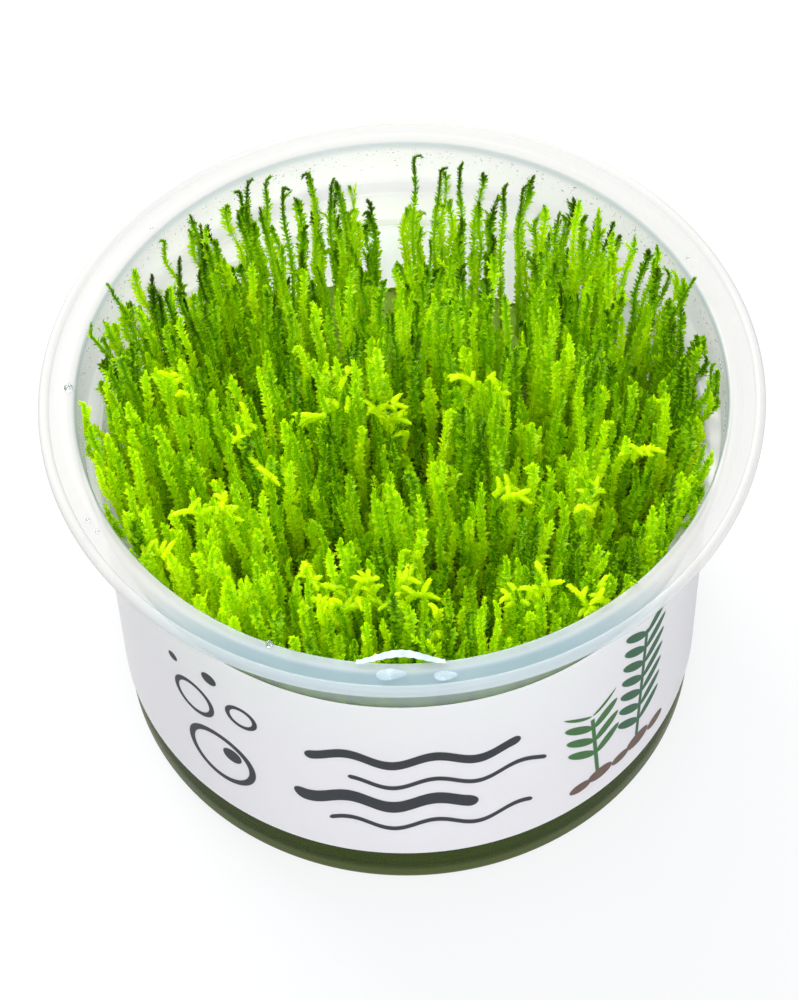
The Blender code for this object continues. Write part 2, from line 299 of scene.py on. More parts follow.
# Painted shade: a bluish grey at the front, for the darker things seen through the plastic there.
front_painted_shade = add(
    tree, "MapRange", smooth, Value=spot["Y"], From_Min=front_shade_beyond[0], From_Max=front_shade_beyond[1]
)
flat_place = add(tree, "CombineXYZ", X=spot["X"], Y=spot["Y"])
from_axis = add(tree, "VectorMath", "LENGTH", _0=flat_place).outputs["Value"]
off_channel = add(tree, "Math", "ABSOLUTE", _0=add(
    tree, "Math", "SUBTRACT", _0=from_axis, _1=channel_middle
))
thick_here = add(
    tree, "MapRange", smooth, Value=off_channel, From_Min=0.5 * MM, From_Max=1.1 * MM,
    To_Min=0.46, To_Max=0.58,
)
# Painted shade: the channel is bluer still at the front.
channel_painted_shade = add(
    tree, "MapRange", smooth, Value=off_channel, From_Min=0.7 * MM, From_Max=1.3 * MM,
    To_Min=front_painted_shade, To_Max=0.0,
)
on_inner_edge = add(
    tree, "MapRange", smooth, Value=from_axis, From_Min=land_inner_radius + 0.35 * MM,
    From_Max=land_inner_radius + 0.1 * MM, To_Max=in_flange,
)
milkiness = add(tree, "MapRange", Value=in_flange, To_Min=in_collar, To_Max=thick_here)
haze_above = add(
    tree, "Math", {"operation": "MULTIPLY_ADD", "use_clamp": True}, _0=edge_haze, _1=0.4,
    _2=milkiness,
)
haze_below = add(tree, "Math", "MULTIPLY", _0=in_foot, _1=foot_haze)
haze = add(tree, "Math", "MAXIMUM", _0=haze_above, _1=haze_below)
milk_tint = linear("#DFDDDD")
for share, tint in (
    (front_painted_shade, "#CDD6DD"), (channel_painted_shade, "#A2BAC6"), (on_inner_edge, "#B4C1C4"),
    (edge_haze, "#8B9496"), (in_foot, "#4E6004"),
):
    milk_tint = add(tree, "Mix", of_colours, _0=share, _6=milk_tint, _7=linear(tint)).outputs[2]
skin = add(tree, "BsdfPrincipled", Base_Color=milk_tint, Roughness=0.22, IOR=1.49, Normal=ripple)
passed = add(tree, "BsdfTranslucent", Color=milk_tint)
milk = add(tree, "MixShader", _0=0.5, _1=skin, _2=passed)
flange_path = add(tree, "Math", "MULTIPLY", _0=in_flange, _1=0.05)
path = add(tree, "Math", "MAXIMUM", _0=edge_haze, _1=flange_path)
clear_tint = linear("#FDFEFE")
for share, tint in ((path, "#7F8D8C"), (in_foot, "#D4E0A8")):
    clear_tint = add(tree, "Mix", of_colours, _0=share, _6=clear_tint, _7=linear(tint)).outputs[2]
clear = add(tree, "BsdfTransparent", Color=clear_tint)
add(tree, "OutputMaterial", Surface=add(tree, "MixShader", _0=haze, _1=clear, _2=milk))
cup.data.materials.append(plastic)
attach(cup, "root")
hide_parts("cup")

# Label: one band of white film, printed, and stuck on all round the body. It is thin enough to
# let light through from behind.
label_gap = 0.3 * MM
label_thickness = 0.15 * MM
label = lathe("label_band", [
    (body_radius(label_bottom) + label_gap, label_bottom),
    (body_radius(label_bottom) + label_gap + label_thickness, label_bottom),
    (body_radius(label_top) + label_gap + label_thickness, label_top),
    (body_radius(label_top) + label_gap, label_top),
    (body_radius(label_bottom) + label_gap, label_bottom),
], round_sides, ends_on_axis=False)

# White film with a printed side: charcoal, two greens and a brown. The places are measured on
# the wrapped face, in mm: across from the front, and up from the table.
film, tree = new_material("printed_label_film")
place = add(tree, "TexCoord").outputs["Object"]
spot = add(tree, "SeparateXYZ", Vector=place).outputs
forward = add(tree, "Math", "MULTIPLY", _0=spot["Y"], _1=-1.0)
turn_from_front = add(tree, "Math", "ARCTAN2", _0=spot["X"], _1=forward)
across = add(tree, "Math", "MULTIPLY", _0=turn_from_front, _1=body_radius(label_top / 2) / MM)
upward = add(tree, "Math", "MULTIPLY", _0=spot["Z"], _1=1 / MM)
edge_softness = 0.12  # mm over which the ink fades


def inked(distance):
    """1 inside a shape and 0 outside it, from the distance to its edge in mm."""
    return add(
        tree, "Math", {"operation": "MULTIPLY_ADD", "use_clamp": True}, _0=distance,
        _1=-1 / edge_softness, _2=0.5,
    )


def both(first, second):
    """Where both shapes are."""
    return add(tree, "Math", "MULTIPLY", _0=first, _1=second)


def either(first, *others):
    """Where any of the shapes is."""
    for other in others:
        first = add(tree, "Math", "MAXIMUM", _0=first, _1=other)
    return first


def apart(side, off):
    """How far two places are apart, from their distances to the side and in height."""
    squares = [add(tree, "Math", "MULTIPLY", _0=way, _1=way) for way in (side, off)]
    return add(tree, "Math", "SQRT", _0=add(tree, "Math", "ADD", _0=squares[0], _1=squares[1]))


# Water: four wave lines across the front, and bubbles that rise beside them on the left.
wave_length, wave_height = 12, 1.1


def wavy_line(left, right, middle, thickness):
    """A line with round ends that rises and falls."""
    phase = add(tree, "Math", "MULTIPLY", _0=across, _1=math.tau / wave_length)
    wave = add(tree, "Math", "MULTIPLY", _0=add(tree, "Math", "SINE", _0=phase), _1=wave_height)
    half = thickness / 2
    past_left = add(tree, "Math", "SUBTRACT", _0=left + half, _1=across)
    past_right = add(tree, "Math", "SUBTRACT", _0=across, _1=right - half)
    above = add(tree, "Math", "SUBTRACT", _0=upward, _1=middle)
    off = add(tree, "Math", "SUBTRACT", _0=above, _1=wave)
    past_end = add(tree, "Math", "MAXIMUM", _0=past_left, _1=past_right)
    away = apart(add(tree, "Math", "MAXIMUM", _0=past_end, _1=0.0), off)
    return inked(add(tree, "Math", "SUBTRACT", _0=away, _1=half))


def ellipse(side, off, half_width, half_height):
    """An ellipse round the place where side and off are 0."""
    away = apart(
        add(tree, "Math", "DIVIDE", _0=side, _1=half_width),
        add(tree, "Math", "DIVIDE", _0=off, _1=half_height),
    )
    beyond = add(tree, "Math", "SUBTRACT", _0=away, _1=1.0)
    return inked(add(tree, "Math", "MULTIPLY", _0=beyond, _1=min(half_width, half_height)))


def oval(centre, middle, half_width, half_height):
    """An ellipse with its middle so far across and up."""
    side = add(tree, "Math", "SUBTRACT", _0=across, _1=centre)
    off = add(tree, "Math", "SUBTRACT", _0=upward, _1=middle)
    return ellipse(side, off, half_width, half_height)


def ring(centre, middle, radius, line):
    """A circle drawn with a line."""
    inside = oval(centre, middle, radius - line, radius - line)
    outside = add(tree, "Math", "SUBTRACT", _0=1.0, _1=inside)
    return both(oval(centre, middle, radius, radius), outside)


waves = [
    wavy_line(-15.0, 15.0, 33.5, 2.2), wavy_line(-9.0, 19.0, 27.6, 1.1),
    wavy_line(-17.0, 9.0, 22.4, 3.0), wavy_line(-12.0, 17.0, 16.6, 1.1),
]
bubbles = [
    ring(-29.0, 21.0, 6.0, 1.1), oval(-26.8, 23.0, 1.6, 1.6), ring(-33.0, 32.5, 3.8, 0.9),
    ring(-24.5, 35.0, 2.6, 0.8), oval(-29.5, 40.5, 1.3, 1.3), oval(-36.5, 39.0, 0.9, 0.9),
]

# Water plants at the right: stems with paired round leaves, and brown pebbles at their feet.
leaf_pitch, leaf_half_length, leaf_half_width = 3.6, 2.3, 1.15
leaf_slant = 0.7  # how far a leaf rises per mm that it reaches out
stem_half_width = 0.35
stem_end = 1.0  # how far the stem ends below the top leaves' tips
pebble_flatness = 0.62


def leafy_stem(centre, lean, foot, top):
    """A thin stem with a leaf to each side at an even pitch, each a slanted ellipse."""
    climbed = add(tree, "Math", "SUBTRACT", _0=upward, _1=foot)
    from_foot = add(tree, "Math", "SUBTRACT", _0=across, _1=centre)
    leant = add(tree, "Math", "MULTIPLY", _0=climbed, _1=lean)
    side = add(tree, "Math", "SUBTRACT", _0=from_foot, _1=leant)
    side = add(tree, "Math", "ABSOLUTE", _0=side)
    rise = add(tree, "Math", "MULTIPLY", _0=side, _1=leaf_slant)
    slanted = add(tree, "Math", "SUBTRACT", _0=climbed, _1=rise)
    in_pitch = add(tree, "Math", "FLOORED_MODULO", _0=slanted, _1=leaf_pitch)
    leaf = ellipse(
        add(tree, "Math", "SUBTRACT", _0=side, _1=leaf_half_length),
        add(tree, "Math", "SUBTRACT", _0=in_pitch, _1=leaf_pitch / 2),
        leaf_half_length, leaf_half_width,
    )
    above_first = inked(add(tree, "Math", "SUBTRACT", _0=leaf_pitch, _1=slanted))
    below_last = inked(add(tree, "Math", "SUBTRACT", _0=slanted, _1=top - foot))
    in_width = inked(add(tree, "Math", "SUBTRACT", _0=side, _1=stem_half_width))
    above_foot = inked(add(tree, "Math", "MULTIPLY", _0=climbed, _1=-1.0))
    below_top = inked(add(tree, "Math", "SUBTRACT", _0=upward, _1=top - stem_end))
    stem = both(in_width, both(above_foot, below_top))
    return either(both(leaf, both(above_first, below_last)), stem)


short_stem = leafy_stem(28.0, -0.10, 15.0, 31.0)
tall_stem = leafy_stem(36.0, 0.02, 14.0, 43.0)
pebbles = either(*[
    oval(centre, middle, half_width, half_width * pebble_flatness)
    for centre, middle, half_width in (
        (25.0, 13.2, 1.9), (28.6, 13.7, 2.3), (32.6, 13.4, 1.8), (36.4, 13.9, 2.5),
        (40.8, 13.3, 2.0),
    )
])

speck = add(tree, "TexNoise", Vector=place, Scale=900.0, Detail=2.0)
colour = linear("#F9F8FC")
for shape, ink, other_ink in (
    (either(*waves, *bubbles), "#33373C", "#3B4046"),
    (short_stem, "#4F8A3C", "#3F7A48"),
    (tall_stem, "#2F6A4A", "#3B7B50"),
    (pebbles, "#8A7061", "#6F584C"),
):
    dye = add(tree, "Mix", of_colours, _0=speck, _6=linear(ink), _7=linear(other_ink)).outputs[2]
    colour = add(tree, "Mix", of_colours, _0=shape, _6=colour, _7=dye).outputs[2]
buckle = add(tree, "TexNoise", Vector=place, Scale=45.0, Detail=1.0)
relief = add(tree, "Bump", Strength=0.1, Distance=0.2 * MM, Height=buckle)
face = add(tree, "BsdfPrincipled", Base_Color=colour, Roughness=0.42, Normal=relief)
glow = add(tree, "BsdfTranslucent", Color=colour)
add(tree, "OutputMaterial", Surface=add(tree, "MixShader", _0=0.50, _1=face, _2=glow))
label.data.materials.append(film)
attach(label, "root")
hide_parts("label")

# Nutrient gel: agar jelly poured in the bottom, cloudy and olive where the old moss has grown
# into it. It creeps a little way up the wall.
gel_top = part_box("nutrient_gel")[1][2]
gel_clearance = 0.06 * MM  # the jelly wets the wall


def contents_radius(height):
    """Radius of what fills the cup, clear of its inner wall."""
    return body_radius(height) - wall - gel_clearance


gel_floor = base_thickness + gel_clearance
gel_foot = gel_floor + inner_foot
gel = lathe("nutrient_jelly", [
    (axis_hole, gel_floor),
    *arc((contents_radius(gel_foot) - inner_foot, gel_foot), inner_foot, -90, 0, 7),
    (contents_radius(gel_top), gel_top),
    (contents_radius(gel_top) - 0.4 * MM, gel_top - 0.1 * MM),
    (contents_radius(gel_top) - 1.6 * MM, gel_top - 0.5 * MM),
    (axis_hole, gel_top - 0.5 * MM),
], round_sides, ends_on_axis=True)

# Agar: an olive jelly with paler and darker strands of old stems set in it, seen as long streaks.
jelly, tree = new_material("agar_jelly")
place = add(tree, "TexCoord").outputs["Object"]
stretched = add(tree, "Mapping", Vector=place, Scale=(1.0, 1.0, 3.2))
strands = add(tree, "TexNoise", Vector=stretched, Scale=85.0, Detail=2.0, Distortion=1.6)
jelly_colours = [(0.36, "#566A12"), (0.5, "#69801A"), (0.66, "#849C2A")]
olive = add(tree, "ValToRGB", {"stops": jelly_colours}, Fac=strands)
add(tree, "OutputMaterial", Surface=add(
    tree, "BsdfPrincipled", Base_Color=olive, Roughness=0.3, IOR=1.34, Specular_IOR_Level=0.05,
))
gel.data.materials.append(jelly)
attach(gel, "root")
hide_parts("nutrient_gel")

# Moss: some 1,600 upright shoots, each a wiry stem with small pointed leaves set all round it.
# They rise out of a mat of old shoots that fills the lower half of the cup, stand close together,
# and splay outwards a little at its sides.
moss_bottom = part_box("moss")[0][2]
chance = np.random.default_rng(5)
mat_top = 35 * MM
shoot_foot = 31 * MM  # inside the mat
shoot_count = 1680  # places for them, of which some stay empty
shoot_scatter = 0.9  # mm that they stand off an even spacing
root_spread = 0.93  # a foot's distance from the axis, as a share of its tip's
root_spread_back = root_spread + 0.03  # and the same from front to back
tip_ring = 44.0 * MM  # radius that the outermost tips stand at
stem_radius = 0.24 * MM
stem_taper = 0.35
stem_points = 9  # along a shoot below its crook
tip_crook = 1.9 * MM  # length that curls over at the tip
crook_points = 6
leaves_start = 36 * MM  # height below which the shoots have lost their leaves
tip_bud = 1.6 * MM  # length over which the leaves close up towards the tip
leaf_length = 0.88 * MM
leaf_width = 0.60  # of its length
leaf_belly = 0.45  # of its length, where it is widest
leaf_fold = 0.08  # of its length, how deep it is folded
leaf_spacing = 0.088 * MM
leaf_spread = 0.92  # radians that an open leaf stands off the stem
closed_spread = 0.5  # and one in the bud
unevenness = (0.7, 1.3)  # of the leaves' length and spread
golden_angle = math.pi * (3 - math.sqrt(5))

# Growth: how young a leaf is, from 0 to about 1, which gives it its green. Painted light and
# shade are added into the same value.
leaf_scatter = 0.15
# Painted shade at each leaf's foot, and a painted highlight at its tip.
leaf_foot_painted_shade, leaf_tip_painted_light = 0.16, 0.08
stem_older = 0.1  # than the leaves on it
depth_painted_light = 0.24  # painted light: leaves below depth_start are paler, against the shade deep in the moss
depth_start, depth_range = 57 * MM, 12 * MM
tip_painted_shade, back_tip_painted_shade = 0.10, 0.40  # painted shade: tips are darker, and more so at the back, where they stand against the light
# The painted shade on the tips grows over these y, towards the back.
back_start, back_range = 8 * MM, 20 * MM


def inside_cup(points, clearance):
    """Points pulled in towards the axis where they would pass through the cup's wall."""
    reach = np.hypot(points[:, 0], points[:, 1])
    height = points[:, 2]
    body = body_radius(np.minimum(height, shoulder_low)) - wall
    collar = collar_radius - wall + (height > rim_height) * 40 * MM
    limit = np.where(height < shoulder_low, body, np.minimum(
        body + (height - shoulder_low) * 1.6, collar)) - clearance
    scale = np.minimum(1, limit / np.maximum(reach, 1e-6))
    points[:, :2] *= scale[:, None]
    return points


def curled_line(foot, length, lean, way, curl, points):
    """Points along a short stretch that sets off at a lean from upright and curls over towards
    the compass direction way."""
    tilt = lean + curl * np.linspace(0, 1, points) ** 1.3
    moves = np.stack([np.sin(tilt) * math.cos(way), np.sin(tilt) * math.sin(way), np.cos(tilt)], 1)
    return foot + np.cumsum(moves * length / points, axis=0)


def shoot_line(root, tip, wobble, curl):
    """Points along a shoot, upright at the root, leaning and lightly wavy, that ends in a crook."""
    share = np.linspace(0, 1, stem_points)[:, None]
    line = np.hstack([
        root[:2] + (tip[:2] - root[:2]) * share ** 1.4,
        root[2] + (tip[2] - root[2]) * share,
    ])
    turn = chance.uniform(0, math.tau, 2)
    waves = chance.uniform(1.0, 2.2, 2)
    line[:, 0] += wobble * np.sin(share[:, 0] * waves[0] * math.tau + turn[0]) * share[:, 0]
    line[:, 1] += wobble * np.sin(share[:, 0] * waves[1] * math.tau + turn[1]) * share[:, 0]
    way = chance.uniform(0, math.tau)
    return np.vstack([line, curled_line(line[-1], tip_crook, 0.1, way, curl, crook_points)])


def frames_along(line):
    """Unit direction of the stem and two unit vectors across it, at each of its points."""
    along = np.gradient(line, axis=0)
    along /= np.linalg.norm(along, axis=1, keepdims=True)
    side = np.cross(along, np.array([0.31, 0.95, 0.02]))
    side /= np.linalg.norm(side, axis=1, keepdims=True)
    return along, side, np.cross(along, side)


def lengths_along(line):
    """Distance of each point from the first one, along the line."""
    return np.concatenate([[0], np.cumsum(np.linalg.norm(np.diff(line, axis=0), axis=1))])


def read_at(values, marks, where):
    """Values that are known at marks along a stem, read at other places."""
    return np.stack([np.interp(where, marks, values[:, i]) for i in range(values.shape[1])], 1)


def stem_mesh(line, radius, growth_and_light):
    """A three-sided tapered tube along the line, with the growth and painted light of its points.
    """
    along, side, up = frames_along(line)
    taper = radius * (1 - stem_taper * np.linspace(0, 1, len(line)))[:, None]
    rings = [
        line + taper * (math.cos(a) * side + math.sin(a) * up)
        for a in (0, math.tau / 3, 2 * math.tau / 3)
    ]
    points = np.stack(rings, 1).reshape(-1, 3)
    first = 3 * np.arange(len(line) - 1)[:, None]
    quads = [
        np.hstack([first + k, first + (k + 1) % 3, first + 3 + (k + 1) % 3, first + 3 + k])
        for k in range(3)
    ]
    return points, np.vstack(quads), np.repeat(growth_and_light, 3)


def leaves_mesh(line, size, growth_and_light, bare, spread, spacing=leaf_spacing, slim=tip_bud):
    """Pointed leaves set in a spiral along the line, one folded blade of four points each. They
    start after the bare length of it, and they are small and pressed to the stem in the slim
    length below the tip."""
    marks = lengths_along(line)
    length = marks[-1]
    count = max(int((length - bare) / spacing * 0.85), 4)
    where = length - (length - bare) * np.linspace(1, 0, count) ** 1.25
    here, along, side, up = [read_at(v, marks, where) for v in (line, *frames_along(line))]
    turn = np.arange(count) * golden_angle + chance.normal(0, 0.3, count)
    outward = np.cos(turn)[:, None] * side + np.sin(turn)[:, None] * up
    across = np.cross(along, outward)
    opened = np.clip((length - where) / tip_bud, 0, 1)
    wide = np.clip((length - where) / slim, 0, 1) ** 1.4
    angle = (closed_spread + (spread - closed_spread) * opened) * (0.75 + 0.25 * wide)
    angle = angle * chance.uniform(*unevenness, count)
    reach = size * (0.50 + 0.15 * opened + 0.35 * wide)
    reach = (reach * chance.uniform(*unevenness, count))[:, None]
    heading = np.cos(angle)[:, None] * along + np.sin(angle)[:, None] * outward
    lift = np.cos(angle)[:, None] * outward - np.sin(angle)[:, None] * along
    foot = here + outward * stem_radius * 0.5
    middle = foot + heading * reach * leaf_belly - lift * reach * leaf_fold
    half = across * reach * leaf_width / 2
    points = np.stack([foot, middle + half, foot + heading * reach, middle - half], 1)
    quads = 4 * np.arange(count)[:, None] + np.arange(4)
    shade = np.interp(where, marks, growth_and_light) + chance.normal(0, leaf_scatter, count)
    shade = np.repeat(shade, 4).reshape(-1, 4)
    # Painted shade at the foot of each leaf, and a painted highlight at its tip.
    shade[:, 0] -= leaf_foot_painted_shade
    shade[:, 2] += leaf_tip_painted_light
    return points.reshape(-1, 3), quads, shade.reshape(-1)


twig_share = 0.2  # of the shoots that have a twig
twig_points = 5
twig_younger = 0.12
usual_wobble = 0.5 * MM
shoot_clearance, twig_clearance = 0.6 * MM, 0.7 * MM  # off the cup's wall


def shoot_parts(root, tip, size, tone, curl, slim, wobble=usual_wobble):
    """A shoot's stem and leaves, and sometimes a twig near its top."""
    line = inside_cup(shoot_line(root, tip, wobble, curl), shoot_clearance)
    marks = lengths_along(line)
    bare = np.interp(leaves_start, line[:, 2], marks)
    # Painted light: paler with depth, to lift the shade that falls deep in the moss.
    growth_and_light = tone + depth_painted_light * np.clip((depth_start - line[:, 2]) / depth_range, 0, 1)
    at_back = np.clip((tip[1] - back_start) / back_range, 0, 1)
    tip_share = np.clip(1 - (marks[-1] - marks) / (slim + 1.5 * MM), 0, 1)
    # Painted shade: the tips are darkened, most of all at the back.
    growth_and_light -= tip_share * (tip_painted_shade + back_tip_painted_shade * at_back)
    parts = [
        stem_mesh(line, stem_radius, growth_and_light - stem_older),
        leaves_mesh(line, size, growth_and_light, bare, leaf_spread, slim=slim),
    ]
    if chance.random() < twig_share:
        start = marks[-1] * chance.uniform(0.65, 0.95)
        foot = read_at(line, marks, np.array([start]))[0]
        twig = inside_cup(curled_line(
            foot, chance.uniform(1.5, 3.5) * MM, chance.uniform(0.4, 0.8),
            chance.uniform(0, math.tau), chance.uniform(-0.6, 0.3), twig_points,
        ), twig_clearance)
        twig_growth_and_light = np.full(len(twig), np.interp(start, marks, growth_and_light) + twig_younger)
        parts.append(stem_mesh(twig, stem_radius * 0.7, twig_growth_and_light))
        parts.append(leaves_mesh(twig, size * 0.75, twig_growth_and_light, 0.1 * MM, 0.8))
    return parts


def joined(name, parts):
    """All the stems and leaves in parts as one mesh, with each point's growth and painted light."""
    starts = np.cumsum([0] + [len(p[0]) for p in parts])
    points = inside_cup(np.vstack([p[0] for p in parts]), 0.12 * MM)
    points[:, 2] = np.maximum(points[:, 2], moss_bottom)
    quads = np.vstack([p[1] + start for p, start in zip(parts, starts)])
    growth_and_light = np.concatenate([p[2] for p in parts])
    mesh = bpy.data.meshes.new(name)
    mesh.vertices.add(len(points))
    mesh.vertices.foreach_set("co", points.astype(np.float32).ravel())
    mesh.loops.add(quads.size)
    mesh.loops.foreach_set("vertex_index", quads.astype(np.int32).ravel())
    mesh.polygons.add(len(quads))
    mesh.polygons.foreach_set("loop_start", np.arange(0, quads.size, 4, dtype=np.int32))
    mesh.update(calc_edges=True)
    layer = mesh.attributes.new("growth_and_light", "FLOAT", "POINT")
    layer.data.foreach_set("value", growth_and_light.astype(np.float32))
    piece = bpy.data.objects.new(name, mesh)
    bpy.context.collection.objects.link(piece)
    return piece


sparse_spots = [(16.0, 31.0, 4.0), (33.0, 21.0, 2.5)]  # x, y and radius, in mm
slits = [  # gaps in the back rows: x, least y and half the width, in mm
    (-15.2, 20.0, 1.1), (-9.8, 20.0, 1.0), (-2.0, 20.0, 0.9), (16.4, 17.0, 1.6),
]
slit_fan, slit_middle = 1 / 550, 24  # share that they fan out per mm, and the y where they don't
thin_x, thin_y = (-5.0, 27.0), 27.0  # the thin back: least and greatest x, and least y, in mm
thin_share = 0.25  # of the shoots there that are left out
hollows = [  # x, y, radius and depth, in mm
    (8.0, -24.0, 5.0, 13.0), (-14.0, -20.0, 4.5, 12.0), (2.0, 0.0, 5.0, 12.0),
    (-23.0, 11.0, 5.0, 12.0), (34.0, 9.0, 5.0, 11.0), (30.0, -16.0, 4.5, 10.0),
    (-5.0, -12.0, 4.0, 9.0), (-33.0, -14.0, 4.0, 9.0), (18.0, 4.0, 4.0, 10.0),
    (0.0, 37.0, 11.0, 12.0), (15.0, 34.0, 7.0, 14.0), (20.0, -9.0, 4.0, 9.0),
]
hollow_stretch = 1.5  # they are longer from front to back
painted_light_patches = [  # x, y and radius in mm, and the painted light given to the leaves there, painted shade below 0
    (-29.0, -17.0, 12.0, 0.30), (-20.0, -26.0, 8.0, 0.14), (0.0, 30.0, 14.0, 0.12),
    (22.0, 28.0, 9.0, 0.12), (26.0, -6.0, 9.0, 0.08), (-36.0, 2.0, 7.0, 0.10),
    (10.0, -34.0, 12.0, -0.10), (35.0, 6.0, 7.0, -0.22), (28.0, -26.0, 7.0, -0.22),
    (-21.0, 14.0, 8.0, -0.14), (6.0, -26.0, 5.0, -0.10),
]
row_width, row_length = 1.7 * MM, 16 * MM  # shoots in a row are alike in height and tone
row_rise, row_younger = 4.5, 0.75  # at most, in mm of height and in growth
usual_tone, tone_scatter, tone_limits = 0.60, 0.11, (0.25, 0.86)  # a shoot's growth
edge_ring = 38 * MM  # radius beyond which fewer shoots end low
low_share, low_share_at_edge = 0.76, 0.5
low_tips = (39, 58.5)  # mm, least and greatest
full_tips = (58.8, 1.6)  # mm, mean and scatter
highest_tip = 61.5  # mm
curled_share, slim_share = 0.2, 0.45  # of the shoots that curl over, and that end in a slim point
middle_radius = 20 * MM  # of the two pieces in the middle
tall_leaf_length, tall_tone, tall_slim, tall_wobble = leaf_length * 0.9, 0.48, 9 * MM, 0.4 * MM
tall_shoots = [  # root x, y, tip x, y, z in mm, and how far the tip curls over, in radians
    (2.5, 33.5, 2.6, 39.6, 63.2, 2.6),
    (5.0, 34.0, 6.2, 38.4, 61.6, 0.9),
    (9.0, 33.5, 9.6, 38.6, 62.6, 0.3),
    (15.0, 33.0, 15.2, 35.2, 61.6, 0.4),
    (17.5, 32.0, 17.8, 34.6, 61.4, 0.8),
    (-9.0, 32.5, -9.4, 36.2, 62.0, 0.8),
    (-15.0, 31.0, -16.0, 35.4, 62.2, 1.4),
    (-20.5, 28.5, -22.3, 34.8, 62.6, 1.0),
    (-32.0, 13.5, -40.0, 17.6, 62.4, 1.4),
    (-31.0, 7.6, -42.6, 10.4, 62.6, 1.2),
    (32.0, 14.0, 40.6, 16.4, 61.8, 0.6),
    (30.0, 16.0, 38.0, 18.4, 62.0, 0.7),
    (34.0, -3.0, 42.0, -2.4, 61.4, 1.0),
    (26.0, 23.0, 30.6, 28.4, 61.2, 0.5),
]
sectors = ["right_back", "back", "left_back", "left_front", "front", "right_front"]
regions = {name: [] for name in ["middle_back", "middle_front", *sectors]}


def region_of(x, y):
    """The middle is parted in two, and the ring round it in six."""
    if math.hypot(x, y) < middle_radius:
        return "middle_back" if y > 0 else "middle_front"
    return sectors[int(math.atan2(y, x) % math.tau / math.tau * len(sectors))]


def sunk(x, y):
    """How far the tips at a place lie below the others, by the hollow that they stand in."""
    return sum(
        depth * MM * math.exp(-2 * (
            ((x / MM - a) / r) ** 2 + ((y / MM - b) / (r * hollow_stretch)) ** 2
        ))
        for a, b, r, depth in hollows
    )


for x, y, tip_x, tip_y, tip_z, curl in tall_shoots:
    root = np.array([x * MM, y * MM, shoot_foot])
    tip = np.array([tip_x, tip_y, tip_z]) * MM
    regions[region_of(x * MM, y * MM)] += shoot_parts(
        root, tip, tall_leaf_length, tall_tone, curl, tall_slim, tall_wobble
    )
for i in range(shoot_count):
    radius = tip_ring * math.sqrt((i + 0.5) / shoot_count)
    angle = i * golden_angle
    x = radius * math.cos(angle) + chance.normal(0, shoot_scatter) * MM
    y = radius * math.sin(angle) + chance.normal(0, shoot_scatter) * MM
    low = chance.random() < (low_share if radius < edge_ring else low_share_at_edge)
    top = chance.uniform(*low_tips) if low else chance.normal(*full_tips)
    size = leaf_length * chance.uniform(0.75, 1.15)
    row = noise.noise(Vector((x / row_width, y / row_length, 0)))
    top += row_rise * noise.noise(Vector((x / row_width, y / row_length, 9)))
    # Painted light and shade: lighter patches where the lamps fall on the moss, darker ones in its
    # shade.
    tone = chance.normal(usual_tone, tone_scatter) + row_younger * row + sum(
        gain * math.exp(-(((x / MM - a) ** 2 + (y / MM - b) ** 2) / r ** 2))
        for a, b, r, gain in painted_light_patches
    )
    if any(math.hypot(x - a * MM, y - b * MM) < r * MM for a, b, r in sparse_spots):
        continue
    fan = 1 + (y / MM - slit_middle) * slit_fan
    if any(abs(x / MM - a * fan) < half and y > b * MM for a, b, half in slits):
        continue
    if thin_x[0] < x / MM < thin_x[1] and y / MM > thin_y and chance.random() < thin_share:
        continue
    tone = min(max(tone, tone_limits[0]), tone_limits[1])
    tip = np.array([x, y, min(top, highest_tip) * MM - sunk(x, y)])
    root = np.array([x * root_spread, y * root_spread_back, shoot_foot])
    curled = chance.random() < curled_share
    curl = chance.uniform(0.8, 2.2) if curled else chance.uniform(0, 0.4)
    slim = chance.uniform(4, 9) * MM if chance.random() < slim_share else tip_bud
    regions[region_of(x, y)] += shoot_parts(root, tip, size, tone, curl, slim)

# Fresh growth: short side shoots of this season on the tops of the older ones, thick with young
# leaves and curled over. Each spot is where such a tuft stands, in mm, and holds a few of them.
fresh_spots = [
    (-22.3, -4.9, 3), (-9.2, 0.7, 6), (-2.3, 0.4, 6), (12.4, 6.0, 3), (25.1, -16.8, 3),
    (-5.0, -30.6, 5), (17.6, -33.0, 6), (25.5, -34.0, 5), (-0.3, -29.9, 4), (-14.3, -28.6, 3),
    (-10.3, -33.6, 4), (4.3, -34.1, 2), (-26.4, -16.6, 4), (-34.0, -24.0, 3), (13.0, -14.7, 2),
    (32.3, -8.7, 2), (-30.0, 2.0, 2), (-18.0, -12.0, 2),
]
fresh_heights = (53.5 * MM, 57.5 * MM)
fresh_ages = (1.05, 1.4)  # from foot to tip
fresh_clearance = 0.8 * MM
fresh_stem_radius = stem_radius * 2.3
fresh_leaf_length = leaf_length * 0.8
fresh_leaf_spread = 0.7
fresh_leaf_spacing = leaf_spacing * 0.5
main_points, fork_points = 11, 7
forks_at = (3, 6)  # of the main stem's points
